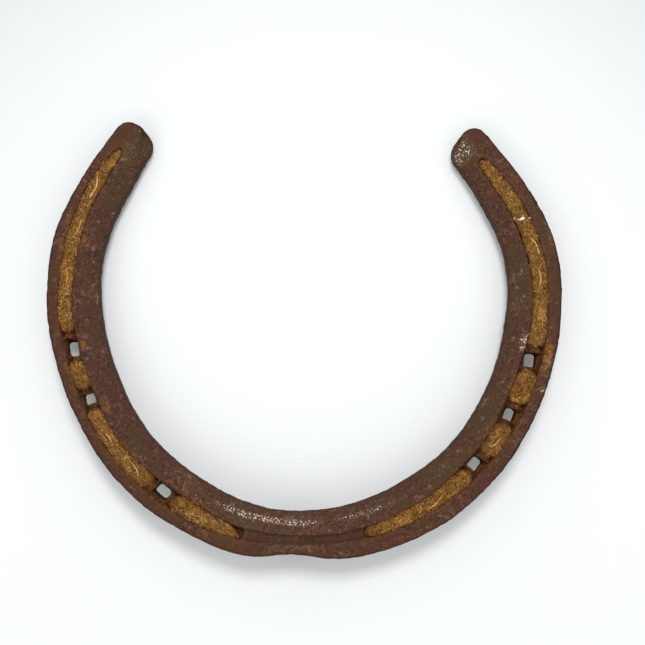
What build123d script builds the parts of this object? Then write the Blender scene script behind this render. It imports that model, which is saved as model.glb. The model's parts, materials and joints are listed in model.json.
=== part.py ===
from build123d import *

import os
from math import atan2, cos, degrees, radians, sin

# A forged horseshoe with a concave, fullered bar, a toe clip and seven nail holes, with packed soil
# and straw left in its crease. It lies with the creased ground face up, on both heels and the tip of
# the toe clip. Millimetres, +Z up, toe to -Y, heels to +Y. The shoe is drawn flat first, with its
# hoof face on Z = 0 and its ground face up, and is tipped onto its heels and clip at the end.

# ---- Bar ------------------------------------------------------------------------------------------
THICKNESS = 9.5            # hoof face to ground face
CONCAVE_FOOT = 5.8         # height at which the inner wall starts to lean out to the ground face
CONCAVE_WIDTH = 4.8        # how far that leaning wall comes in from the inner edge
EDGE_ROUND = 0.9           # rounding of the long edges
TOE_WEAR = 2.0             # metal worn off the ground face at the toe
WEAR_START_Y = -42.0       # where the worn part of the ground face begins
WEAR_END_Y = -78.0         # the toe end of the worn part

# Points on the outer edge: degrees from the toe, right side positive, and radius. The shallow dip
# about -3 degrees is where metal was drawn out of the edge to make the clip.
OUTER_EDGE = [
    (-125, 96.6), (-110, 94.5), (-95, 90.4), (-80, 86.4), (-60, 83.1), (-40, 80.9), (-24, 79.5),
    (-15, 79.0), (-10, 77.7), (-5, 76.3), (0, 76.2), (5, 77.5), (10, 78.6), (16, 79.3), (40, 81.7),
    (60, 83.8), (80, 87.2), (95, 90.6), (110, 94.0), (125, 94.9),
]
INNER_EDGE = [
    (-125, 80.2), (-110, 76.8), (-95, 71.8), (-80, 68.0), (-60, 64.7), (-40, 62.3), (-20, 61.9),
    (0, 61.5), (20, 61.3), (40, 62.4), (60, 65.0), (80, 68.3), (95, 72.0), (110, 76.2), (125, 78.7),
]
# Heel ends: the outer and inner corner of the bar before they are rounded off.
LEFT_HEEL = ((-139.8, 100.2), (-143.2, 87.9))
RIGHT_HEEL = ((140.8, 96.9), (142.6, 83.2))
HEEL_ROUND = 0.42          # corner radius as a share of the width of the heel end

# ---- Crease ---------------------------------------------------------------------------------------
# Degrees from the toe, then the radii of the groove's inner and outer lip.
CREASE = [
    (-135.5, 91.4, 93.8), (-130, 89.3, 94.0), (-120, 87.2, 92.3), (-110, 84.7, 90.0), (-95, 81.2, 86.6),
    (-80, 76.6, 82.4), (-60, 73.8, 79.3), (-40, 70.0, 76.9), (-20, 69.7, 75.0), (0, 68.9, 73.2),
    (20, 69.6, 74.4), (40, 70.4, 76.4), (60, 72.5, 79.3), (80, 75.4, 82.8), (95, 79.9, 85.9),
    (110, 83.2, 89.2), (120, 84.2, 89.9), (130, 85.0, 90.2), (135, 86.2, 89.8),
]
CREASE_FLOOR = 4.0         # height of the groove's floor above the hoof face
WORN_CREASE_FLOOR = 6.3    # the same at the toe, where the groove has closed up
WALL_LEAN = 0.8            # how far each groove wall comes in towards the floor
CREASE_END_ROUND = 0.4     # corner radius at the groove's ends as a share of its width there
WORN_CREASE = (-17, 17)    # degrees between which only the shallow groove is left
DEEP_CREASE = (-128, 127)  # degrees past which the groove fades out towards the heels

# ---- Nail holes -----------------------------------------------------------------------------------
# Degrees from the toe, radius at the crease floor, and how many degrees the hole leans outwards on
# its way to the hoof face.
LEFT_NAILS = [(-86.7, 81.6, 6), (-73.2, 78.6, 6), (-58.0, 75.8, 5), (-42.2, 73.4, 4)]
RIGHT_NAILS = [(83.7, 79.9, 6), (68.7, 77.0, 6), (52.7, 74.6, 5)]
BLOCKED_NAIL = 2           # place in LEFT_NAILS of the hole that is still full of soil
HOLE_AT_HOOF = (3.2, 4.8)  # across and along the bar at the hoof face
HOLE_AT_FLOOR = (4.0, 6.0)  # the same at the crease floor
HOLE_ROUND = 0.7

# ---- Toe clip -------------------------------------------------------------------------------------
CLIP_X = -3.6
CLIP_HEIGHT = 13.0
CLIP_ROOT_WIDTH = 22.0
CLIP_TIP_WIDTH = 9.0
CLIP_OUTER_Y = -75.6
CLIP_ROOT_THICKNESS = 4.2
CLIP_TIP_THICKNESS = 2.0
CLIP_TIP_ROUND = 3.2
CLIP_ROOT_DEPTH = 1.5      # how far the clip runs up into the bar

# ---- Packed soil and straw in the crease ----------------------------------------------------------
# Name, then the degrees between which each packing lies. It stops short of each open nail hole, where
# the nail's head kept it out.
PACKINGS = {
    "packing_left_heel": (-136.0, -90.2),
    "packing_left_quarter": (-83.6, -75.7),
    "packing_left_side": (-70.9, -45.4),
    "packing_left_toe": (-38.6, -17.0),
    "packing_right_toe": (17.0, 50.1),
    "packing_right_side": (56.1, 66.1),
    "packing_right_quarter": (71.6, 80.8),
    "packing_right_heel": (86.6, 136.0),
}
BLOCKED_PACKING = "packing_left_side"
PLUG_DROP = 0.4            # how far the soil in the blocked hole stops short of the hoof face
FILL_DROP = 0.8            # how far the packing stays below the ground face

# Straw pressed into the packings: degrees from the toe, distance outwards from the middle of the
# crease, length, thickness, and the turn away from the line of the crease.
STRAW = {
    "straw_left": [
        (-125.0, 0.3, 8.0, 0.6, 8), (-115.0, -0.2, 7.0, 0.5, -9), (-104.0, 0.1, 8.0, 0.6, 6),
        (-63.0, 0.4, 6.5, 0.6, 14), (-52.0, -0.5, 7.0, 0.5, -12), (-31.0, 0.2, 6.0, 0.5, 10),
    ],
    "straw_right": [
        (28.0, -0.2, 6.0, 0.5, -9), (38.0, 0.3, 7.0, 0.6, 9), (60.5, 0.0, 5.0, 0.5, -16),
        (94.0, 0.4, 7.0, 0.6, 12), (103.0, -0.3, 8.0, 0.6, -8), (111.0, 0.5, 6.5, 0.5, 9),
    ],
}
# Pale scale of bark or chaff on the right heel packing: place as above, then its size and turn.
CHAFF_PLACE = (118.0, 0.2)
CHAFF_SIZE = (3.8, 1.5, 0.5)
CHAFF_TURN = 62
CHAFF_ROUND = 0.6

OUTSIDE = 400.0            # larger than the shoe, for cutting blocks
OVERCUT = 0.5              # how far a groove or hole runs on past the face that it opens into
HEADING_STEP = 2.0         # degrees to either side over which the crease's direction is taken


def polar(angle, radius):
    """Plan point at an angle from the toe, the right side being positive."""
    return (radius * sin(radians(angle)), -radius * cos(radians(angle)))


def plan(outer_inset, inner_inset):
    """Outline of the shoe seen from above, with each long edge moved into the bar."""
    left_outer, left_inner = LEFT_HEEL
    right_outer, right_inner = RIGHT_HEEL
    outer = [left_outer] + OUTER_EDGE + [right_outer]
    inner = [left_inner] + INNER_EDGE + [right_inner]
    outer_points = [polar(angle, radius - outer_inset) for angle, radius in outer]
    inner_points = [polar(angle, radius + inner_inset) for angle, radius in inner]
    heel_lines = [
        Line(outer_points[0], inner_points[0]),
        Line(inner_points[-1], outer_points[-1]),
    ]
    face = make_face([Spline(*outer_points), Spline(*inner_points)] + heel_lines)
    for line in heel_lines:
        ends = [face.vertices().sort_by_distance(line @ end)[0] for end in (0, 1)]
        face = fillet(ends, HEEL_ROUND * line.length)
    return face


def below_ground(drop):
    """Everything under the ground face, with its worn toe, lowered by drop."""
    top = THICKNESS - drop
    worn_slope = TOE_WEAR / (WEAR_START_Y - WEAR_END_Y)
    far_toe_top = top - worn_slope * (WEAR_START_Y + OUTSIDE)
    side = Polyline(
        (-OUTSIDE, far_toe_top),
        (WEAR_START_Y, top),
        (OUTSIDE, top),
        (OUTSIDE, -OUTSIDE),
        (-OUTSIDE, -OUTSIDE),
        close=True,
    )
    return extrude(Plane.YZ * make_face(side), OUTSIDE / 2, both=True)


def sector(start, end):
    """Upright wedge between two angles from the toe."""
    corners = Polyline((0, 0), polar(start, OUTSIDE), polar(end, OUTSIDE), close=True)
    return extrude(make_face(corners), OUTSIDE / 2, both=True)


def blank():
    """The plain bar bent to shape: flat hoof face, upright outer wall, concave inner wall."""
    concave_run = CONCAVE_WIDTH / (THICKNESS - CONCAVE_FOOT)
    lip = THICKNESS - EDGE_ROUND
    layers = [
        (0, EDGE_ROUND, EDGE_ROUND),
        (EDGE_ROUND, 0, 0),
        (CONCAVE_FOOT, 0, 0),
        (lip, 0, concave_run * (lip - CONCAVE_FOOT)),
        (THICKNESS, EDGE_ROUND, CONCAVE_WIDTH + EDGE_ROUND / 2),
    ]
    faces = [Pos(0, 0, height) * plan(outer, inner) for height, outer, inner in layers]
    return loft(faces, ruled=True)


def crease(floor):
    """Full-length groove down to a floor, with leaning walls."""
    faces = []
    for height, lean in ((floor, WALL_LEAN), (THICKNESS + OVERCUT, 0)):
        inner = [polar(angle, low + lean) for angle, low, high in CREASE]
        outer = [polar(angle, high - lean) for angle, low, high in CREASE]
        ends = [Line(inner[0], outer[0]), Line(outer[-1], inner[-1])]
        face = make_face([Spline(*inner), Spline(*outer)] + ends)
        for line in ends:
            corners = [face.vertices().sort_by_distance(line @ end)[0] for end in (0, 1)]
            face = fillet(corners, CREASE_END_ROUND * line.length)
        faces.append(Pos(0, 0, height) * face)
    return loft(faces, ruled=True)


def nail_hole(angle, radius, lean):
    """Tapered hole punched from the crease floor, leaning out towards the hoof face."""
    slope = sin(radians(lean))
    sections = []
    for height, size in ((CREASE_FLOOR + OVERCUT, HOLE_AT_FLOOR), (-OVERCUT, HOLE_AT_HOOF)):
        reach = radius + slope * (CREASE_FLOOR - height)
        outline = RectangleRounded(size[1], size[0], HOLE_ROUND)
        x, y = polar(angle, reach)
        sections.append(Pos(x, y, height) * Rot(0, 0, angle) * outline)
    return loft(sections, ruled=True)


def toe_clip():
    """Upright tongue drawn from the toe, a rounded triangle that thins to its tip."""
    root, tip = CLIP_ROOT_WIDTH / 2, CLIP_TIP_WIDTH / 2
    front = make_face(Polyline(
        (CLIP_X - root, CLIP_ROOT_DEPTH),
        (CLIP_X + root, CLIP_ROOT_DEPTH),
        (CLIP_X + root, 0),
        (CLIP_X + tip, -CLIP_HEIGHT),
        (CLIP_X - tip, -CLIP_HEIGHT),
        (CLIP_X - root, 0),
        close=True,
    ))
    front = fillet(front.vertices().group_by(Axis.Y)[0], CLIP_TIP_ROUND)
    side = make_face(Polyline(
        (CLIP_OUTER_Y, CLIP_ROOT_DEPTH),
        (CLIP_OUTER_Y, -CLIP_HEIGHT),
        (CLIP_OUTER_Y + CLIP_TIP_THICKNESS, -CLIP_HEIGHT),
        (CLIP_OUTER_Y + CLIP_ROOT_THICKNESS, 0),
        (CLIP_OUTER_Y + CLIP_ROOT_THICKNESS, CLIP_ROOT_DEPTH),
        close=True,
    ))
    tongue = extrude(Plane.XZ * front, OUTSIDE, both=True)
    return tongue & extrude(Plane.YZ * side, OUTSIDE, both=True)


def crease_middle(angle):
    """Radius of the middle of the crease at an angle from the toe."""
    for (start, *lips), (end, *next_lips) in zip(CREASE, CREASE[1:]):
        if start <= angle <= end:
            share = (angle - start) / (end - start)
            return (sum(lips) * (1 - share) + sum(next_lips) * share) / 2
    raise ValueError(f"the crease does not reach {angle} degrees")


def on_packing(angle, offset, turn):
    """Place on top of a packing, with X along the crease and turned away from it."""
    before, after = angle - HEADING_STEP, angle + HEADING_STEP
    along = Vector(*polar(after, crease_middle(after))) - Vector(*polar(before, crease_middle(before)))
    heading = degrees(atan2(along.Y, along.X))
    x, y = polar(angle, crease_middle(angle) + offset)
    worn = max(0, WEAR_START_Y - y) * TOE_WEAR / (WEAR_START_Y - WEAR_END_Y)
    return Pos(x, y, THICKNESS - FILL_DROP - worn) * Rot(0, 0, heading + turn)


def straw_stem(angle, offset, length, thickness, turn):
    """Short stem lying half in the top of a packing."""
    return on_packing(angle, offset, turn) * Rot(0, 90, 0) * Cylinder(thickness / 2, length)


def chaff():
    """Thin pale scale lying half in the top of a packing."""
    scale = Box(*CHAFF_SIZE)
    scale = fillet(scale.edges().filter_by(Axis.Z), CHAFF_ROUND)
    return on_packing(*CHAFF_PLACE, CHAFF_TURN) * scale


def groove():
    """The whole crease: deep along both branches, shallow at the toe and at both ends."""
    heelward_left = sector(DEEP_CREASE[0], WORN_CREASE[0])
    heelward_right = sector(WORN_CREASE[1], DEEP_CREASE[1])
    deep = crease(CREASE_FLOOR)
    return crease(WORN_CREASE_FLOOR) + (deep & heelward_left) + (deep & heelward_right)


def horseshoe(holes):
    """The one forging: bar, clip, crease and nail holes."""
    return (blank() & below_ground(0)) + toe_clip() - groove() - holes


def packing(name, holes, pressed_in):
    """One run of packed soil, filling the crease between two angles."""
    fill = groove() & sector(*PACKINGS[name]) & below_ground(FILL_DROP)
    if name == BLOCKED_PACKING:
        above_hoof_face = Pos(0, 0, OUTSIDE / 2 + PLUG_DROP) * Box(OUTSIDE, OUTSIDE, OUTSIDE)
        fill = fill + (holes[BLOCKED_NAIL] & above_hoof_face)
    return fill - pressed_in


def resting_place(shoe):
    """Tip the flat shoe onto its heels and clip, with the origin under the middle of its box."""
    hoof_face = shoe.faces().filter_by(Axis.Z).sort_by(SortBy.AREA)[-1]
    clip_foot_y = CLIP_OUTER_Y + CLIP_TIP_THICKNESS
    tilt = degrees(atan2(CLIP_HEIGHT, hoof_face.bounding_box().max.Y - clip_foot_y))
    box = (Rot(-tilt, 0, 0) * shoe).bounding_box()
    middle = box.center()
    return Pos(-middle.X, -middle.Y, -box.min.Z) * Rot(-tilt, 0, 0)


holes = [nail_hole(*nail) for nail in LEFT_NAILS + RIGHT_NAILS]
shoe = horseshoe(holes)
stems = {name: [straw_stem(*stem) for stem in group] for name, group in STRAW.items()}
scale = chaff()
pressed_in = [stem for group in stems.values() for stem in group] + [scale]

nodes = {"horseshoe": shoe, "chaff_scale": scale}
for name in PACKINGS:
    nodes[name] = packing(name, holes, pressed_in)

place = resting_place(shoe)
os.makedirs("parts", exist_ok=True)
for name, solid in nodes.items():
    export_step(place * solid, f"parts/{name}.step")
for name, group in stems.items():
    export_step(Compound(children=[place * stem for stem in group]), f"parts/{name}.step")
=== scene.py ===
import json
import math

import bmesh
import bpy
import numpy as np
from mathutils import Matrix, Vector, noise
from mathutils.kdtree import KDTree


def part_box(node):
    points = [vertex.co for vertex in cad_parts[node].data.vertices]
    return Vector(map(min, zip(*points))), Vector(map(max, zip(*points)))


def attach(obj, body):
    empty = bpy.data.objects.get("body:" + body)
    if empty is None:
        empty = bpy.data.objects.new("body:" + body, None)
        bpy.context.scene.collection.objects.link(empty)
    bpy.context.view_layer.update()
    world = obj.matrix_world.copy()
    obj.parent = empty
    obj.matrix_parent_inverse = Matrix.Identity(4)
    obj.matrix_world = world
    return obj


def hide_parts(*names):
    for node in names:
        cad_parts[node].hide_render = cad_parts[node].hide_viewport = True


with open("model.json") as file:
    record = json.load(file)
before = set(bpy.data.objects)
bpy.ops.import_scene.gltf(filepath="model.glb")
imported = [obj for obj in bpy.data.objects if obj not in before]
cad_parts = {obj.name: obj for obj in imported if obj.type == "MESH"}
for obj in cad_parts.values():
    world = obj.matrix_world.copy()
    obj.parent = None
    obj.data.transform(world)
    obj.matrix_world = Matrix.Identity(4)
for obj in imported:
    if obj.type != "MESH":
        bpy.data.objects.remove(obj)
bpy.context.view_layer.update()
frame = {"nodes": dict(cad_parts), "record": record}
MM = 0.001

# ---- How the shoe lies ------------------------------------------------------------------------------
# The shoe lies with its creased ground face up, on its two heels and the tip of its toe clip, so its
# hoof face is tipped up at the toe. The camera looks straight down on it from arm's length.
hoof_mount = frame["record"]["mounts"][0]
hoof_point = Vector(hoof_mount["pos_m"])
shoe_up = -Vector(hoof_mount["axis"])
shoe_right = Vector((1, 0, 0))
shoe_heelward = shoe_up.cross(shoe_right)
plan_middle = Vector((0, 0.4 * MM, 6.5 * MM))
UP, RIGHT, HEELWARD = (np.array(way) for way in (shoe_up, shoe_right, shoe_heelward))

CAMERA_HEIGHT = 400 * MM
VIEW_ON_FLOOR = 234.4 * MM
CAMERA_OVER = (6.4 * MM, 5.4 * MM)

camera_data = bpy.data.cameras.new("camera")
camera_data.lens = camera_data.sensor_width * CAMERA_HEIGHT / VIEW_ON_FLOOR
camera = bpy.data.objects.new("camera", camera_data)
camera.location = (*CAMERA_OVER, CAMERA_HEIGHT)
bpy.context.scene.collection.objects.link(camera)
bpy.context.scene.camera = camera


# ---- The shoe -----------------------------------------------------------------------------------------
# One forging of mild steel: a creased bar bent hot round the anvil's horn, punched for seven nails,
# with a clip drawn up from the toe. It is hammered, worn and rusted to a dark, scaly brown.
MERGE_GAP = 0.002 * MM


def placed(name, mesh):
    """An object at the origin that shows the mesh."""
    piece = bpy.data.objects.new(name, mesh)
    bpy.context.scene.collection.objects.link(piece)
    return piece


def mesh_from(name, work):
    """What was built in a bmesh, as a plain mesh."""
    mesh = bpy.data.meshes.new(name)
    work.to_mesh(mesh)
    work.free()
    return mesh


def merged(mesh):
    """A bmesh of a CAD node's loose triangles, merged into closed surfaces."""
    work = bmesh.new()
    work.from_mesh(mesh)
    bmesh.ops.remove_doubles(work, verts=work.verts, dist=MERGE_GAP)
    return work


def copied(node, name):
    """A piece that starts as a copy of a CAD node."""
    return placed(name, mesh_from(name, merged(frame["nodes"][node].data)))


def applied(piece):
    """The piece with its modifiers made into plain mesh."""
    graph = bpy.context.evaluated_depsgraph_get()
    mesh = bpy.data.meshes.new_from_object(piece.evaluated_get(graph))
    piece.modifiers.clear()
    old = piece.data
    piece.data = mesh
    bpy.data.meshes.remove(old)
    mesh.name = piece.name
    return piece


def even_skin(piece, voxel, smooth_rounds):
    """Evenly spaced faces all over the piece, with the stair steps smoothed out."""
    remesh = piece.modifiers.new("even", "REMESH")
    remesh.mode = "VOXEL"
    remesh.voxel_size = voxel
    smooth = piece.modifiers.new("smooth", "SMOOTH")
    smooth.factor = 0.5
    smooth.iterations = smooth_rounds
    return applied(piece)


def vertex_rows(mesh, field="co"):
    """Each vertex's place, or its normal, as rows of x, y, z."""
    rows = np.empty(len(mesh.vertices) * 3)
    mesh.vertices.foreach_get(field, rows)
    return rows.reshape(-1, 3)


def store(mesh, name, values):
    """Save one number, or one vector, for each vertex."""
    kind, field = ("FLOAT", "value") if values.ndim == 1 else ("FLOAT_VECTOR", "vector")
    mesh.attributes.new(name, kind, "POINT").data.foreach_set(field, values.astype(np.float32).ravel())


class Value:
    """A socket of a node tree. Arithmetic on it adds Math nodes."""

    def __init__(self, tree, socket=None):
        self.tree = tree
        self.socket = socket

    def node(self, kind, settings, inputs, output=0):
        """A new node: its settings are set first, then the values or links of its sockets."""
        made = self.tree.nodes.new(kind)
        for name, setting in settings.items():
            if name == "stops":
                ramp = made.color_ramp
                while len(ramp.elements) < len(setting):
                    ramp.elements.new(0.5)
                for element, (place, colour) in zip(ramp.elements, setting):
                    element.position = place
                    element.color = colour
            else:
                setattr(made, name, setting)
        for name, value in inputs.items():
            if isinstance(value, Value):
                self.tree.links.new(value.socket, made.inputs[name])
            else:
                made.inputs[name].default_value = value
        return Value(self.tree, made.outputs[output])

    def maths(self, operation, *values):
        return self.node("ShaderNodeMath", {"operation": operation}, dict(enumerate(values)))

    def __add__(self, other):
        return self.maths("ADD", self, other)

    def __radd__(self, other):
        return self.maths("ADD", other, self)

    def __sub__(self, other):
        return self.maths("SUBTRACT", self, other)

    def __rsub__(self, other):
        return self.maths("SUBTRACT", other, self)

    def __mul__(self, other):
        return self.maths("MULTIPLY", self, other)

    def __rmul__(self, other):
        return self.maths("MULTIPLY", other, self)

    def __rtruediv__(self, other):
        return self.maths("DIVIDE", other, self)

    def rise(self, low, high):
        """0 below low, 1 above high, and a smooth step between."""
        settings = {"interpolation_type": "SMOOTHSTEP"}
        return self.node("ShaderNodeMapRange", settings, {"Value": self, "From Min": low, "From Max": high})


def shade(tree, mask, under, over):
    """One colour laid over another by a mask."""
    return Value(tree).node("ShaderNodeMix", {"data_type": "RGBA"}, {0: mask, 6: under, 7: over}, output=2)


def colour(red, green, blue):
    """A paint-chart colour from 0 to 255, as the linear colour that shaders take."""
    linear = [((c / 255 + 0.055) / 1.055) ** 2.4 if c > 10 else c / 255 / 12.92 for c in (red, green, blue)]
    return (*linear, 1.0)


def blotches(place, size, seed, detail=3.0, roughness=0.55):
    """Cloudy values from 0 to 1, with blotches about one size across."""
    return place.node(
        "ShaderNodeTexNoise", {"noise_dimensions": "4D"},
        {"Vector": place, "W": seed, "Scale": 1 / size, "Detail": detail, "Roughness": roughness})


def grains(place, size, seed):
    """Distance to the nearest of many scattered grains about one size apart."""
    return place.node(
        "ShaderNodeTexVoronoi", {"voronoi_dimensions": "4D"},
        {"Vector": place, "W": seed, "Scale": 1 / size})


def new_material(name):
    """An empty material, its tree and Principled shader, and the place on the piece."""
    material = bpy.data.materials.new(name)
    material.use_nodes = True
    tree = material.node_tree
    place = Value(tree).node("ShaderNodeTexCoord", {}, {}, output="Object")
    return material, tree, tree.nodes["Principled BSDF"], place


def finish_with(tree, shader, base, rough, bump_height, bump_distance):
    """Connect colour, roughness and bump to the shader."""
    tree.links.new(base.socket, shader.inputs["Base Color"])
    tree.links.new(rough.socket, shader.inputs["Roughness"])
    bump = Value(tree).node("ShaderNodeBump", {}, {"Distance": bump_distance, "Height": bump_height})
    tree.links.new(bump.socket, shader.inputs["Normal"])


def stored(tree, name):
    """A number that was saved for each vertex."""
    return Value(tree).node("ShaderNodeAttribute", {"attribute_name": name}, {}, output="Fac")


BROWN_SCALE = colour(52, 32, 22), colour(92, 62, 44)
PURPLE_SCALE = colour(76, 46, 41)
OLIVE_SCALE = colour(72, 55, 33)
GREY_SCUFF = colour(128, 102, 84)
PALE_GRIT = colour(134, 100, 74)
BLACK_PIT = colour(32, 18, 11)
RED_RUST = colour(88, 46, 27)
ORANGE_BLOOM = colour(112, 60, 27)
CREASE_BROWN = colour(70, 43, 27)
FRESH_RUST = colour(104, 60, 28), colour(158, 100, 46)
SOIL_DUST = colour(78, 45, 22), colour(128, 84, 42)
PAINTED_WALL_SHADE = colour(27, 17, 12)
PAINTED_HOLE_SHADE = colour(24, 15, 11)
RUBBED_STEEL = colour(140, 112, 90)
BARE_STEEL_AND_PAINTED_GLINT = colour(164, 134, 108), colour(250, 240, 224)
STRAY_GLINT = colour(176, 156, 136)


def rusty_steel():
    """Dark brown rust with purple and grey scale, orange blooms, dust, painted shade on walls and round
    holes, and small bright painted glints.
    """
    material, tree, shader, place = new_material("rusty_steel")
    dirt, steep, trough, polish = (stored(tree, name) for name in ("dirt", "steep", "trough", "polish"))
    rusty, share, burr, ground = (stored(tree, name) for name in ("rusty", "share", "burr", "ground"))

    large = blotches(place, 17 * MM, 1.0)
    middle = blotches(place, 4 * MM, 2.0, detail=4)
    small = blotches(place, 1.25 * MM, 3.0, detail=3, roughness=0.8)
    fine = blotches(place, 0.5 * MM, 4.0, detail=2, roughness=0.8)

    base = shade(tree, small.rise(0.36, 0.64), *BROWN_SCALE)
    base = shade(tree, middle.rise(0.44, 0.58) * 0.75, base, PURPLE_SCALE)
    base = shade(tree, large.rise(0.48, 0.6) * 0.6, base, OLIVE_SCALE)
    scuffs = blotches(place, 2.6 * MM, 6.0, detail=4, roughness=0.7).rise(0.55, 0.66)
    base = shade(tree, scuffs * small.rise(0.4, 0.58) * 0.8, base, GREY_SCUFF)
    base = shade(tree, fine.rise(0.56, 0.68) * 0.5, base, PALE_GRIT)
    base = shade(tree, fine.rise(0.45, 0.33) * 0.45, base, BLACK_PIT)
    redness = (share * 0.6 + large * 0.5 + middle * 0.5).rise(0.85, 1.2)
    base = shade(tree, redness * 0.4, base, RED_RUST)

    blooms = blotches(place, 6 * MM, 7.0, detail=5, roughness=0.65).rise(0.57, 0.66)
    base = shade(tree, blooms * small.rise(0.4, 0.6) * 0.5, base, ORANGE_BLOOM)
    base = shade(tree, trough * (0.2 + 0.4 * large), base, CREASE_BROWN)
    broken = (middle * 0.7 + small * 0.9).rise(0.62, 0.92)
    fresh = (rusty * 0.7 + broken * 0.6).rise(0.6, 1.2) * rusty.rise(0.0, 0.35)
    base = shade(tree, fresh * 0.8, base, shade(tree, fine.rise(0.4, 0.6), *FRESH_RUST))
    dusting = dirt * (large * 0.7 + small * 0.9).rise(0.5, 0.95)
    base = shade(tree, dusting * 0.75, base, shade(tree, fine.rise(0.4, 0.62), *SOIL_DUST))
    # Painted shade: steep walls get a darker colour where less light falls on them.
    base = shade(tree, steep * (0.55 + 0.6 * small), base, PAINTED_WALL_SHADE)
    # Painted shade: a dark ring about each nail hole.
    base = shade(tree, burr * 0.92, base, PAINTED_HOLE_SHADE)

    # Rubbed steel is a little lighter. Painted highlights: near-white glints in the colour on the rubbed
    # places, and a few stray painted glints on the ground face.
    worn_and_glinting = (polish * middle.rise(0.3, 0.46)).maths("MINIMUM", polish, 1.0)
    specks = (grains(place, 0.55 * MM, 9.0) + (1 - worn_and_glinting) * 0.3).rise(0.6, 0.4) * fine.rise(0.4, 0.54)
    glint = specks * worn_and_glinting.rise(0.05, 0.6)
    base = shade(tree, worn_and_glinting * small * 0.22, base, RUBBED_STEEL)
    shine = shade(tree, fine.rise(0.42, 0.62) * worn_and_glinting.rise(0.4, 1.0), *BARE_STEEL_AND_PAINTED_GLINT)
    base = shade(tree, glint * 0.92, base, shine)
    stray = ground * grains(place, 2.2 * MM, 12.0).rise(0.2, 0.1) * fine.rise(0.5, 0.6)
    base = shade(tree, stray * 0.5, base, STRAY_GLINT)

    rough = 0.7 + 0.2 * small - 0.3 * glint
    relief = small * 0.6 + fine * 0.4 + middle * 0.5
    finish_with(tree, shader, base, rough, relief, 0.5 * MM)
    tree.links.new((glint * 0.35).socket, shader.inputs["Metallic"])
    shader.inputs["Specular IOR Level"].default_value = 0.15
    return material


def surface_tree(name, amounts):
    """A Geometry Nodes tree with a mesh and named amounts going in. Gives the tree and its inputs."""
    tree = bpy.data.node_groups.new(name, "GeometryNodeTree")
    tree.interface.new_socket("Geometry", in_out="INPUT", socket_type="NodeSocketGeometry")
    for label, amount in amounts.items():
        kind = "NodeSocketInt" if label == "Seed" else "NodeSocketFloat"
        tree.interface.new_socket(label, in_out="INPUT", socket_type=kind).default_value = amount
    tree.interface.new_socket("Geometry", in_out="OUTPUT", socket_type="NodeSocketGeometry")
    given = tree.nodes.new("NodeGroupInput").outputs
    return tree, {label: Value(tree, given[label]) for label in given.keys() if label}


def finished(tree, geometry):
    """The tree, with this geometry coming out of it."""
    tree.links.new(geometry.socket, tree.nodes.new("NodeGroupOutput").inputs[0])
    return tree


PLAIN_ROUGHNESS = 0.5


def forge_skin(material):
    """Geometry Nodes tree that gives a smooth bar its hammer marks, lifted scale and pits."""
    tree, given = surface_tree("forge_skin", {
        "Hammer size": 19 * MM, "Hammer depth": 0.5 * MM, "Dent size": 7 * MM, "Dent depth": 0.14 * MM,
        "Scale size": 2.4 * MM, "Scale lift": 0.12 * MM, "Pit size": 1.9 * MM, "Pit depth": 0.22 * MM,
        "Seed": 3})
    start = Value(tree)
    place = start.node("GeometryNodeInputPosition", {}, {})

    def waves(width, shift, detail):
        return blotches(place, width, given["Seed"] + shift, detail, PLAIN_ROUGHNESS)

    hammer = (waves(given["Hammer size"], 0.0, 1.0) - 0.5) * given["Hammer depth"] * 2
    dents = (waves(given["Dent size"], 5.0, 2.0) - 0.5) * given["Dent depth"] * 2
    scale = waves(given["Scale size"], 9.0, 2.0).rise(0.47, 0.56) * given["Scale lift"]
    spots = grains(place, given["Pit size"], given["Seed"])
    pits = (1 - spots.rise(0.1, 0.42)) * waves(given["Hammer size"], 14.0, 2.0).rise(0.45, 0.6)
    depth = hammer + dents + scale - pits * given["Pit depth"]
    normal = start.node("GeometryNodeInputNormal", {}, {})
    push = start.node("ShaderNodeVectorMath", {"operation": "SCALE"}, {0: normal, "Scale": depth})
    moved = start.node("GeometryNodeSetPosition", {}, {"Geometry": given["Geometry"], "Offset": push})
    smooth = start.node("GeometryNodeSetShadeSmooth", {}, {"Geometry": moved})
    real = start.node("GeometryNodeRealizeInstances", {}, {"Geometry": smooth})
    painted = start.node("GeometryNodeSetMaterial", {}, {"Geometry": real, "Material": material})
    return finished(tree, painted)


def place_in_bar(points):
    """For each point: degrees from the toe, distance from the shoe's middle, height above the hoof face."""
    from_middle = points - np.array(plan_middle)
    right = from_middle @ RIGHT
    heelward = from_middle @ HEELWARD
    above_hoof = (points - np.array(hoof_point)) @ UP
    return np.degrees(np.arctan2(right, -heelward)), np.hypot(right, heelward), above_hoof


def gaps(points, targets):
    """How far each point is from the nearest of the targets."""
    finder = KDTree(len(targets))
    for index, target in enumerate(targets):
        finder.insert(target, index)
    finder.balance()
    return np.array([finder.find(point)[2] for point in points])


SHOE_VOXEL = 0.6 * MM
shoe = even_skin(copied("horseshoe", "shoe"), SHOE_VOXEL, 2)
places = vertex_rows(shoe.data)
upward = vertex_rows(shoe.data, "normal") @ UP
angle, radius, height = place_in_bar(places)

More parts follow.
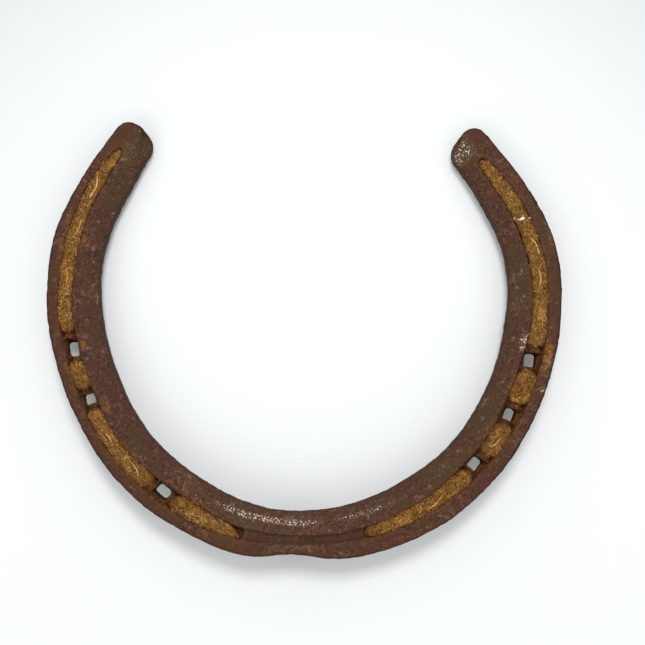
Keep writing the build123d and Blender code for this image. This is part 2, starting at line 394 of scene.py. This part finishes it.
# The bar's two edges and its ground face, every two degrees round the shoe. The clip lies below the bar.
HEEL_TIPS = 142
STEP = 2.0
BAR_FROM = 0.5 * MM
steps = np.arange(-HEEL_TIPS, HEEL_TIPS + 1, STEP)
near = [(height > BAR_FROM) & (abs(angle - step) < 0.75 * STEP) for step in steps]
inner_edge = np.interp(angle, steps, [radius[pick].min() for pick in near])
outer_edge = np.interp(angle, steps, [radius[pick].max() for pick in near])
share = (radius - inner_edge) / (outer_edge - inner_edge)
sunk = np.interp(angle, steps, [height[pick & (upward > 0.9)].max() for pick in near]) - height
CREASE_INSIDE, CREASE_OUTSIDE = 0.42, 0.93
CREASE_FROM = 2 * MM
CREASE_END = 138
across_crease = (share > CREASE_INSIDE) & (share < CREASE_OUTSIDE)
in_crease = across_crease & (height > CREASE_FROM) & (abs(angle) < CREASE_END)

DUST_REACH = 1.7 * MM
packing_nodes = [name for name in frame["nodes"] if name.startswith("packing")]
dirt_points = np.concatenate([vertex_rows(frame["nodes"][name].data) for name in packing_nodes])
dirt = np.clip(1 - gaps(places, dirt_points) / DUST_REACH, 0, 1)
store(shoe.data, "dirt", dirt)

TROUGH_START, TROUGH_FULL = 0.7 * MM, 1.5 * MM
trough = np.clip((sunk - TROUGH_START) / (TROUGH_FULL - TROUGH_START), 0, 1) * in_crease
store(shoe.data, "trough", trough)

# Painted shade darkens the outer edge, fading down the wall. On the inner wall painted shade darkens the
# undercut stretches and the foot. In the crease the painted shade is weak and fades near the soil.
WALL_SHADE_FADE = 3.5 * MM
FOOT_HEIGHT, FOOT_END = 1.2 * MM, 135
GROUND_DEPTH = 1 * MM
edge_dark = np.clip((0.93 - upward) / 0.2, 0, 1) * np.clip(1 - sunk / WALL_SHADE_FADE, 0.2, 1)
inner_dark = 0.4 * np.clip((0.7 - upward) / 0.2, 0, 1)
foot_dark = 0.6 * (upward < 0.1) * (height < FOOT_HEIGHT) * (abs(angle) < FOOT_END)
steep = np.where(share < 0.35, inner_dark + foot_dark, edge_dark)
store(shoe.data, "steep", np.where(in_crease, 0.12 * steep * (1 - 0.8 * dirt), steep))
store(shoe.data, "ground", (sunk < GROUND_DEPTH) & (upward > 0.8))
store(shoe.data, "share", np.clip(share, 0, 1))

# Painted shade: a dark ring is painted about each punched hole, thickest on the side away from the shoe's
# middle.
nail_mounts = [mount for mount in frame["record"]["mounts"] if mount["name"].startswith("nail_hole")]
nail_places = np.array([mount["pos_m"] for mount in nail_mounts])
HOLE_SHADE_WIDTH, HOLE_SHADE_SHIFT, HOLE_SHADE_TOP = 0.8 * MM, 0.42 * MM, 7 * MM
HOLE_WALL_TOP = 3.4 * MM
hole_walls = places[(upward < 0.5) & in_crease & (height < HOLE_WALL_TOP)]
radians = np.radians(angle)[:, None]
outwards = np.sin(radians) * RIGHT - np.cos(radians) * HEELWARD
from_wall = gaps(places - HOLE_SHADE_SHIFT * outwards, hole_walls)
store(shoe.data, "burr", np.clip(1.6 - from_wall / HOLE_SHADE_WIDTH, 0, 1) * (height < HOLE_SHADE_TOP))

# Places rubbed bright on the road, where painted highlights (glints) are also laid on the worn steel, and
# places where fresh rust and wet soil have stained the scale: degrees from the toe, millimetres outwards
# from the ridge where the concave inner wall meets the ground face, half length in degrees, half width in
# millimetres, and strength.
WEAR_AND_GLINT_PLACES = [
    (-11, 0.1, 22, 0.9, 1.4), (19, 0.3, 14, 0.9, 0.8), (-39, -1.4, 8, 1.5, 0.4), (47, -1.0, 5, 1.5, 0.3),
    (-101, -2.2, 4, 2.0, 0.35), (-113, 0.6, 4, 1.6, 0.25), (88.0, 1.8, 3.2, 1.6, 1.3),
    (98, -2.6, 5, 1.6, 0.35), (139, -1.5, 3.0, 4.0, 0.9), (-136, 1.0, 3.0, 3.0, 0.35),
    (-1, 8.6, 12, 0.9, 0.45), (39, 12.6, 3, 1.6, 0.4), (84, 12.0, 2.5, 1.0, 0.4), (112, 12.0, 5, 1.2, 0.45),
    (64, 12.0, 3, 1.0, 0.4), (77, 12.2, 1.5, 0.8, 0.9), (-4, 3.0, 36, 3.5, 0.3), (-3, -3.0, 32, 3.0, 0.25),
    (84, 10.8, 4, 1.2, 0.6),
]
STAINED = [
    (84.5, 10.4, 5, 1.5, 0.9), (-87.4, 2.0, 1.6, 1.0, 0.9), (-39, 1.0, 6, 1.8, 0.6), (-31, 2.0, 6, 1.6, 0.6),
    (-114, 0.8, 5, 1.6, 0.6), (-113, 8.2, 9, 1.8, 0.55), (77, 1.6, 5, 1.4, 0.6), (-70, 1.5, 4, 1.4, 0.7),
    (62, 2.0, 5, 1.4, 0.5), (127, 10.0, 6, 1.6, 0.35), (-82, 8.0, 7, 1.6, 0.8), (-60, 7.5, 7, 1.6, 0.6),
    (120, 1.0, 8, 2.0, 0.35), (-125, 8.6, 6, 1.6, 0.4), (35, 9.0, 8, 1.4, 0.4),
]
FLAT_DEPTH = 0.35 * MM
flat_top = (sunk < FLAT_DEPTH) & (upward > 0.96)
ridge = np.interp(angle, steps, [radius[pick & flat_top].min() for pick in near])


def patches(listed):
    """How strongly each vertex of the shoe lies in one of the listed places."""
    strength = np.zeros(len(places))
    for turn, out, half_turn, half_width, amount in listed:
        along_bar = np.clip(1.6 * (1 - abs(angle - turn) / half_turn), 0, 1)
        across_bar = np.clip(1.5 * (1 - abs((radius - ridge) / MM - out) / (2 * half_width)), 0, 1)
        strength = np.maximum(strength, amount * along_bar * across_bar ** 1.5)
    return strength


def nail_gaps(points):
    """How far each point is from the middle of the nearest open nail hole."""
    return np.min([np.linalg.norm(points - nail, axis=1) for nail in nail_places], axis=0)


NAIL_RUST = 4 * MM
CREASE_RUST_DEPTH = 0.6 * MM
BARE_TOE = 20
store(shoe.data, "polish", patches(WEAR_AND_GLINT_PLACES) * (upward > 0.4))
beside_nail = np.clip(2 - nail_gaps(places) / NAIL_RUST, 0, 1)
crease_rust = (0.4 + 0.6 * beside_nail) * in_crease * (sunk > CREASE_RUST_DEPTH) * (abs(angle) > BARE_TOE)
store(shoe.data, "rusty", np.maximum(patches(STAINED) * (upward > 0.3), crease_rust))

# Long wear has rounded the outer edge of the ground face.
EDGE_WEAR = 0.5 * MM
EDGE_START = 0.88
EDGE_FROM = 6 * MM
worn_edge = np.clip((share - EDGE_START) / 0.12, 0, 1) ** 2 * (upward > 0.3) * (height > EDGE_FROM)
worn_places = places - (EDGE_WEAR * worn_edge)[:, None] * UP
shoe.data.vertices.foreach_set("co", worn_places.astype(np.float32).ravel())

skin = shoe.modifiers.new("forge_skin", "NODES")
skin.node_group = forge_skin(rusty_steel())
applied(shoe)
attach(shoe, "root")
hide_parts("horseshoe")


# ---- The packings -------------------------------------------------------------------------------------
# Soil, dung and chopped straw trodden hard into the crease and dried there. Each run is lumpy on top,
# stops short of the nail holes, and has short pale fibres felted into it.
SOIL = colour(64, 39, 15), colour(164, 115, 50)
BROWN_CLOD = colour(102, 60, 24)
DAMP_SOIL = colour(84, 53, 25)
STRAW_DUST = colour(208, 164, 92)
RUSTY_EDGE = colour(62, 34, 20), colour(112, 66, 34)
WELL_SOIL = colour(76, 45, 26)


def packed_soil():
    """Ochre and brown soil with fine straw dust in it, darker and rustier beside the nail holes."""
    material, tree, shader, place = new_material("packed_soil")
    lump, well, side = (stored(tree, name) for name in ("lump", "well", "side"))
    middle = blotches(place, 2.8 * MM, 21.0, detail=4)
    small = blotches(place, 0.9 * MM, 22.0, detail=4, roughness=0.75)
    fine = blotches(place, 0.4 * MM, 23.0, detail=2)
    damp = blotches(place, 7 * MM, 24.0, detail=3, roughness=0.6).rise(0.4, 0.56)
    base = shade(tree, (small + lump * 0.3).rise(0.42, 0.72), *SOIL)
    base = shade(tree, middle.rise(0.49, 0.62) * 0.62, base, BROWN_CLOD)
    base = shade(tree, damp * (0.25 + 0.6 * small), base, DAMP_SOIL)
    base = shade(tree, fine.rise(0.53, 0.65) * small.rise(0.43, 0.58) * 0.85, base, STRAW_DUST)
    edge = (side + middle * 1.1 + small * 0.4 - 0.55).rise(0.3, 0.85)
    base = shade(tree, edge * 0.85, base, shade(tree, small.rise(0.4, 0.6), *RUSTY_EDGE))
    base = shade(tree, well * (small + 0.25).rise(0.3, 0.7) * 0.95, base, WELL_SOIL)
    finish_with(tree, shader, base, 0.85 + 0.1 * fine, small * 0.6 + fine * 0.4, 0.5 * MM)
    shader.inputs["Specular IOR Level"].default_value = 0.12
    return material


STRAW_TONES = [
    (0.0, colour(74, 46, 18)), (0.4, colour(134, 90, 37)), (0.75, colour(182, 134, 62)),
    (1.0, colour(232, 194, 128)),
]


def straw_colours():
    """Dry straw, each stem its own tone from brown to pale gold."""
    material, tree, shader, place = new_material("straw")
    fine = blotches(place, 0.5 * MM, 31.0)
    tone = stored(tree, "tone") * 0.85 + fine * 0.3 - 0.07
    ramp = tone.node("ShaderNodeValToRGB", {"stops": STRAW_TONES}, {"Fac": tone})
    finish_with(tree, shader, ramp, 0.6 + 0.2 * fine, fine, 0.1 * MM)
    shader.inputs["Specular IOR Level"].default_value = 0.2
    return material


def blade(name, rings, width, depth, bends):
    """Mesh of a flat bent stem along X, one unit long, thinner at its two ends. bends gives y and z."""
    work = bmesh.new()
    loops = []
    for ring in range(rings):
        share_along = ring / (rings - 1)
        side, lift = bends(share_along)
        taper = 1 - 0.55 * abs(2 * share_along - 1) ** 4
        corners = []
        for corner in range(4):
            turn = math.tau * (corner + 0.5) / 4
            across, up = width * taper * math.cos(turn), depth * taper * math.sin(turn)
            corners.append(work.verts.new((share_along - 0.5, side + across, lift + up)))
        loops.append(corners)
    for before, after in zip(loops, loops[1:]):
        for corner in range(4):
            following = (corner + 1) % 4
            work.faces.new((before[corner], before[following], after[following], after[corner]))
    work.faces.new(loops[0])
    work.faces.new(loops[-1])
    bmesh.ops.recalc_face_normals(work, faces=work.faces)
    return mesh_from(name, work)


def dice(tree, low, high, seed):
    """A random number between low and high for each point."""
    return Value(tree).node(
        "FunctionNodeRandomValue", {"data_type": "FLOAT"}, {2: low, 3: high, "Seed": seed}, output=1)


def mark(geometry, domain, name, value):
    """The geometry with a number saved on each of its points or instances."""
    return geometry.node("GeometryNodeStoreNamedAttribute", {"data_type": "FLOAT", "domain": domain}, {
        "Geometry": geometry, "Name": name, "Value": value})


def laid(points, pattern, rotation, roll, pitch, yaw, length, tone):
    """Copies of a pattern piece on the points, each turned its own way and with its own tone."""
    turn = points.node("ShaderNodeCombineXYZ", {}, {"X": roll, "Y": pitch, "Z": yaw})
    by = points.node("FunctionNodeEulerToRotation", {}, {"Euler": turn})
    turned = points.node("FunctionNodeRotateRotation", {"rotation_space": "LOCAL"}, {
        "Rotation": rotation, "Rotate By": by})
    mesh = points.node("GeometryNodeObjectInfo", {}, {"Object": pattern}, output="Geometry")
    copies = points.node("GeometryNodeInstanceOnPoints", {}, {
        "Points": points, "Instance": mesh, "Rotation": turned, "Scale": length})
    return mark(copies, "INSTANCE", "tone", tone)


def real_meshes(tree, parts):
    """The parts joined, with every instance made real."""
    join = tree.nodes.new("GeometryNodeJoinGeometry")
    for part in parts:
        tree.links.new(part.socket, join.inputs[0])
    return Value(tree).node("GeometryNodeRealizeInstances", {}, {"Geometry": Value(tree, join.outputs[0])})


def lumpy_fill(soil, straw, fibre):
    """Geometry Nodes tree: lumps on top of a packing, with fibres felted along it."""
    tree, given = surface_tree("lumpy_fill", {
        "Lump size": 2.4 * MM, "Lump height": 0.55 * MM, "Grain size": 0.8 * MM, "Grain height": 0.4 * MM,
        "Fibres per square metre": 7e6, "Fibre length": 1.4 * MM, "Patch size": 7 * MM, "Seed": 1})
    start = Value(tree)
    place = start.node("GeometryNodeInputPosition", {}, {})
    normal = start.node("GeometryNodeInputNormal", {}, {})
    top = start.node(
        "ShaderNodeVectorMath", {"operation": "DOT_PRODUCT"}, {0: normal, 1: tuple(shoe_up)}, output="Value")

    def waves(width, shift):
        return blotches(place, width, shift, 2.0, PLAIN_ROUGHNESS)

    def named(name, kind="FLOAT"):
        return start.node("GeometryNodeInputNamedAttribute", {"data_type": kind}, {"Name": name})

    well = named("well")
    bumps = (waves(given["Lump size"], 1.0) - 0.44) * 2
    grit = (waves(given["Grain size"], 2.0) - 0.5) * 2
    rise = bumps * given["Lump height"] + grit * given["Grain height"]
    lift = start.node("ShaderNodeVectorMath", {"operation": "SCALE"}, {
        0: tuple(shoe_up), "Scale": rise * top.rise(0.2, 0.8)})
    marked = mark(given["Geometry"], "POINT", "lump", bumps + grit * 0.7)
    lumpy = start.node("GeometryNodeSetPosition", {}, {"Geometry": marked, "Offset": lift})
    smooth = start.node("GeometryNodeSetShadeSmooth", {}, {"Geometry": lumpy})

    more_than = {"data_type": "FLOAT", "operation": "GREATER_THAN"}
    on_top = start.node("FunctionNodeCompare", more_than, {0: top, 1: 0.45})
    points = start.node("GeometryNodeDistributePointsOnFaces", {}, {
        "Mesh": lumpy, "Selection": on_top, "Seed": given["Seed"],
        "Density": given["Fibres per square metre"] * (1 - well * 0.8) * (1 - named("side") * 0.75)})
    ground_normal = Value(tree, points.socket.node.outputs["Normal"])
    along = start.node("FunctionNodeAlignRotationToVector", {"axis": "X"}, {
        "Vector": named("along", "FLOAT_VECTOR")})
    flat = start.node("FunctionNodeAlignRotationToVector", {"axis": "Z", "pivot_axis": "X"}, {
        "Rotation": along, "Vector": ground_normal})
    yaw = (dice(tree, -1.0, 1.0, 3) + dice(tree, -1.0, 1.0, 4)) * 0.95
    stained = 1 - well * 0.5 - waves(given["Patch size"], 4.0).rise(0.44, 0.6) * 0.3
    fibres = laid(
        points, fibre, flat, dice(tree, -0.4, 0.4, 6), dice(tree, -0.28, 0.28, 7), yaw,
        dice(tree, 0.4, 1.3, 5) * given["Fibre length"],
        dice(tree, 0.1, 1.0, 8) * dice(tree, 0.5, 1.3, 9) * stained)
    real = real_meshes(tree, (smooth, fibres))
    soiled = start.node("GeometryNodeSetMaterial", {}, {"Geometry": real, "Material": soil})
    is_fibre = start.node("FunctionNodeCompare", more_than, {0: named("tone"), 1: 0.01})
    strawed = start.node("GeometryNodeSetMaterial", {}, {
        "Geometry": soiled, "Material": straw, "Selection": is_fibre})
    return finished(tree, strawed)


soil = packed_soil()
straw = straw_colours()
fibre_mesh = blade("fibre", 4, 0.05, 0.03, lambda along: (0.07 * math.sin(math.pi * along), 0.0))
fibre = placed("fibre", fibre_mesh)
fill_tree = lumpy_fill(soil, straw, fibre)
seed_socket = next(item.identifier for item in fill_tree.interface.items_tree if item.name == "Seed")
FILL_VOXEL = 0.35 * MM
WELL_NEAR, WELL_FAR = 3.2 * MM, 5.6 * MM
TOP_DEPTH = 1.2 * MM
CROWN = 0.55 * MM
END_SLOPE = 1.6 * MM
END_DROP = 2.4 * MM
END_FOOT = 1.5 * MM
TOE_START, TOE_END = 17, 28
TOE_TAPER = 4 * MM
SMEAR = 0.5 * MM
WOBBLE_SIZE = 2.6 * MM


def trodden(fill, number):
    """Crown the packing up to the lips, smear its sides over them and slope its two ends off."""
    before = vertex_rows(fill.data)
    turn, reach, rise = place_in_bar(before)
    bins = np.arange(turn.min(), turn.max() + 1, 1.0)
    here = [abs(turn - step) < 1.2 for step in bins]
    inside = np.interp(turn, bins, [reach[pick].min() for pick in here])
    outside = np.interp(turn, bins, [reach[pick].max() for pick in here])
    top = np.interp(turn, bins, [rise[pick].max() for pick in here])
    side = 2 * (reach - inside) / (outside - inside) - 1
    near_top = np.clip(1 - (top - rise) / TOP_DEPTH, 0, 1)
    shift = Vector((0, 0, 7.0 * number))
    wobble = np.array([noise.noise(Vector(place) / WOBBLE_SIZE + shift) for place in before])

    # The fills thin out towards the worn toe. The left one ends in a point at the crease's outer lip.
    thin = np.clip((TOE_END - turn) / (TOE_END - TOE_START), 0, 1) * (turn > 0)
    tapered = (turn < 0) & (turn > -TOE_END)
    gap = np.radians(np.minimum(turn - turn.min(), turn.max() - turn)) * reach
    corner_gap = gap - END_SLOPE * abs(side) ** 3 - TOE_TAPER * tapered * (1 - side) / 2
    off_end = np.clip(1 - corner_gap / (END_SLOPE * (1 + 0.6 * wobble)), 0, 1.3)

    crown = CROWN * (1 - 2.6 * thin)
    dropped = END_DROP * near_top * off_end ** 2 * (1 - 0.35 * thin)
    lifted = crown * near_top * (1 - side ** 4 * 0.3) - dropped
    smeared = SMEAR * (0.5 + 1.6 * wobble) * near_top * np.sign(side) * abs(side) ** 6
    towards_end = np.where(turn - turn.min() < turn.max() - turn, -1, 1)
    foot = END_FOOT * (1 - near_top) * np.clip(1 - gap / END_SLOPE, 0, 1) * towards_end
    east, north = np.sin(np.radians(turn))[:, None], -np.cos(np.radians(turn))[:, None]
    radial = east * RIGHT + north * HEELWARD
    tangent = north * -RIGHT + east * HEELWARD
    after = before + lifted[:, None] * UP + smeared[:, None] * radial + foot[:, None] * tangent
    fill.data.vertices.foreach_set("co", after.astype(np.float32).ravel())
    fill.data.update()
    end_edge = np.minimum(off_end, 1) * (1 - 0.5 * thin)
    store(fill.data, "side", np.maximum.reduce([abs(side) ** 3, end_edge, 0.45 * thin]))


for number, node in enumerate(packing_nodes):
    fill = even_skin(copied(node, node.replace("packing", "soil")), FILL_VOXEL, 1)
    trodden(fill, number)
    fill_places = vertex_rows(fill.data)
    store(fill.data, "well", np.clip((WELL_FAR - nail_gaps(fill_places)) / (WELL_FAR - WELL_NEAR), 0, 1))
    fill_angle = np.radians(place_in_bar(fill_places)[0])[:, None]
    store(fill.data, "along", np.cos(fill_angle) * RIGHT + np.sin(fill_angle) * HEELWARD)
    lumps = fill.modifiers.new("lumpy_fill", "NODES")
    lumps.node_group = fill_tree
    lumps[seed_socket] = 10 + number
    applied(fill)
    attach(fill, "root")
    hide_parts(node)


def loose_crumbs(straw, fibre, grain):
    """Geometry Nodes tree: short fibres and grains of soil, strewn where the dirt is thick."""
    tree, given = surface_tree("loose_crumbs", {
        "Per square metre": 1.5e6, "Fibre length": 1.3 * MM, "Grain size": 0.32 * MM})
    start = Value(tree)
    dirt = start.node("GeometryNodeInputNamedAttribute", {"data_type": "FLOAT"}, {"Name": "dirt"})
    density = given["Per square metre"] * dirt * dirt * dirt
    crumbs = []
    for seed, pattern, size in ((1, fibre, given["Fibre length"]), (2, grain, given["Grain size"])):
        points = start.node("GeometryNodeDistributePointsOnFaces", {}, {
            "Mesh": given["Geometry"], "Seed": seed, "Density": density})
        lying = Value(tree, points.socket.node.outputs["Rotation"])
        crumbs.append(laid(
            points, pattern, lying, dice(tree, -0.3, 0.3, seed + 10), dice(tree, -0.2, 0.2, seed + 20),
            dice(tree, 0.0, math.tau, seed + 30), dice(tree, 0.4, 1.2, seed + 40) * size,
            dice(tree, 0.0, 0.75, seed + 50)))
    real = real_meshes(tree, crumbs)
    strawed = start.node("GeometryNodeSetMaterial", {}, {"Geometry": real, "Material": straw})
    return finished(tree, strawed)


grain_work = bmesh.new()
bmesh.ops.create_icosphere(grain_work, subdivisions=1, radius=0.5)
for vertex in grain_work.verts:
    vertex.co *= 0.75 + 0.35 * noise.noise(vertex.co * 3)
grain = placed("grain", mesh_from("grain", grain_work))
crumbs = placed("soil_crumbs", shoe.data.copy())
strewn = crumbs.modifiers.new("loose_crumbs", "NODES")
strewn.node_group = loose_crumbs(straw, fibre, grain)
applied(crumbs)
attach(crumbs, "root")
for pattern in (fibre, grain):
    bpy.data.objects.remove(pattern)


# ---- Straw and chaff ----------------------------------------------------------------------------------
# A few longer straw stems and one pale scale of bark, pressed into the packings by the horse's weight.
# The stems are split and flattened, and each one is bent its own way.
def loose_parts(mesh):
    """Vertices of each separate solid in a mesh, as arrays, from the toe to the heel."""
    work = merged(mesh)
    left = dict.fromkeys(work.verts)
    parts = []
    while left:
        found = [left.popitem()[0]]
        for vertex in found:
            for link in vertex.link_edges:
                other = link.other_vert(vertex)
                if other in left:
                    del left[other]
                    found.append(other)
        parts.append(np.array([vertex.co for vertex in found]))
    work.free()
    return sorted(parts, key=lambda part: part[:, 1].mean())


STEM_LIFT = 0.6 * MM
for name in ("straw_left", "straw_right"):
    stems_work = bmesh.new()
    for number, part in enumerate(loose_parts(frame["nodes"][name].data)):
        centre = part.mean(axis=0)
        line = np.linalg.svd(part - centre)[2][0]
        # Every stem runs towards the toe, so that it always bends the same way.
        line = -np.sign(line[1]) * line
        curl = 0.05 + 0.03 * (number % 3)
        stem = blade("stem", 15, 0.035, 0.018, lambda along: (
            curl * math.sin(math.pi * along) + 0.012 * math.sin(9 * along + number),
            0.02 * math.cos(7 * along + number)))
        x_axis = Vector(line)
        y_axis = shoe_up.cross(x_axis).normalized()
        turn = Matrix((x_axis, y_axis, x_axis.cross(y_axis))).transposed().to_4x4()
        rest = Matrix.Translation(Vector(centre) + shoe_up * STEM_LIFT)
        stem.transform(rest @ turn @ Matrix.Scale(np.ptp((part - centre) @ line), 4))
        store(stem, "tone", np.full(len(stem.vertices), 0.75 + 0.12 * (number % 3)))
        stems_work.from_mesh(stem)
        bpy.data.meshes.remove(stem)
    stems = placed(name.replace("straw", "stems"), mesh_from(name.replace("straw", "stems"), stems_work))
    stems.data.materials.append(straw)
    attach(stems, "root")
    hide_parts(name)


SHARD_THICKNESS = 0.16 * MM
SHARD_LEAN = 0.25


def shard(size, corners, place, spin):
    """Thin pale splinter with a crooked outline, lying on the packing."""
    work = bmesh.new()
    rims = []
    for lift in (0.0, SHARD_THICKNESS):
        rim = []
        for corner in range(corners):
            turn = math.tau * corner / corners
            reach = size * (0.55 + 0.45 * math.sin(2.4 * corner + spin))
            rim.append(work.verts.new((reach * math.cos(turn), 0.6 * reach * math.sin(turn), lift)))
        rims.append(rim)
    for corner in range(corners):
        following = (corner + 1) % corners
        work.faces.new((rims[0][corner], rims[0][following], rims[1][following], rims[1][corner]))
    work.faces.new(rims[0][::-1])
    work.faces.new(rims[1])
    turned = Matrix.Rotation(spin, 4, shoe_up) @ Matrix.Rotation(SHARD_LEAN, 4, "X")
    bmesh.ops.transform(work, matrix=Matrix.Translation(place) @ turned, verts=work.verts)
    bmesh.ops.recalc_face_normals(work, faces=work.faces)
    return mesh_from("shard", work)


def pale_chaff():
    """Bleached husk, a little warmer in patches."""
    material, tree, shader, place = new_material("chaff")
    streak = blotches(place, 0.5 * MM, 41.0)
    base = shade(tree, streak.rise(0.4, 0.7), colour(244, 240, 228), colour(206, 192, 164))
    finish_with(tree, shader, base, 0.6 + 0.2 * streak, streak, 0.08 * MM)
    return material


# Each shard's size in millimetres, its corners, its shift right and heelward in millimetres, and its turn.
SHARDS = [
    (1.7, 7, -0.7, -0.1, 0.5), (1.5, 6, 0.3, 0.5, 2.2), (0.8, 5, 2.4, 0.2, 4.0), (0.6, 5, -3.0, 0.1, 1.1),
]
husk_low, husk_high = (Vector(corner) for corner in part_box("chaff_scale"))
husk_place = (husk_low + husk_high) / 2 + shoe_up * 0.6 * MM
husk_work = bmesh.new()
for size, corners, right, heelward, spin in SHARDS:
    place = husk_place + shoe_right * right * MM + shoe_heelward * heelward * MM
    husk_work.from_mesh(shard(size * MM, corners, place, spin))
flakes = placed("chaff_flakes", mesh_from("chaff_flakes", husk_work))
flakes.data.materials.append(pale_chaff())
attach(flakes, "root")
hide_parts("chaff_scale")


# ---- The floor and the light --------------------------------------------------------------------------
# A pale sheet under a broad soft lamp that stands a little behind the heels. Painted light falloff: the
# sheet's colour darkens away from one bright spot.
HALF_FLOOR = 12.0
BRIGHTEST_SPOT = (6 * MM, -60 * MM, 0)
floor_mesh = bpy.data.meshes.new("floor")
floor_corners = [(x * HALF_FLOOR, y * HALF_FLOOR, 0) for x, y in ((-1, -1), (1, -1), (1, 1), (-1, 1))]
floor_mesh.from_pydata(floor_corners, [], [(0, 1, 2, 3)])
floor = placed("floor", floor_mesh)
floor_paint, floor_tree, floor_shader, floor_place = new_material("pale_floor")
# Painted light: the floor's colour is lightest at the brightest spot and darker further out.
from_spot = floor_place.node(
    "ShaderNodeVectorMath", {"operation": "DISTANCE"}, {0: floor_place, 1: BRIGHTEST_SPOT}, output="Value")
painted_light_falloff = shade(floor_tree, from_spot.rise(110 * MM, 300 * MM), colour(240, 242, 242), colour(194, 200, 198))
floor_tree.links.new(painted_light_falloff.socket, floor_shader.inputs["Base Color"])
floor_shader.inputs["Roughness"].default_value = 0.9
floor_mesh.materials.append(floor_paint)


def lamp(name, place, width, power):
    """A square soft lamp, turned to the middle of the floor."""
    data = bpy.data.lights.new(name, "AREA")
    data.size = width
    data.energy = power
    holder = placed(name, data)
    holder.location = place
    holder.rotation_euler = (-Vector(place)).to_track_quat("-Z", "Y").to_euler()


lamp("key", place=(0.03, 0.37, 0.82), width=0.2, power=3.8)
lamp("fill", place=(-0.5, -0.6, 1.0), width=0.9, power=1.2)
world = bpy.data.worlds.new("room")
world.use_nodes = True
room_light = world.node_tree.nodes["Background"].inputs
room_light["Color"].default_value = (0.97, 0.985, 1.0, 1.0)
room_light["Strength"].default_value = 0.74
bpy.context.scene.world = world
bpy.context.scene.view_settings.view_transform = "Standard"
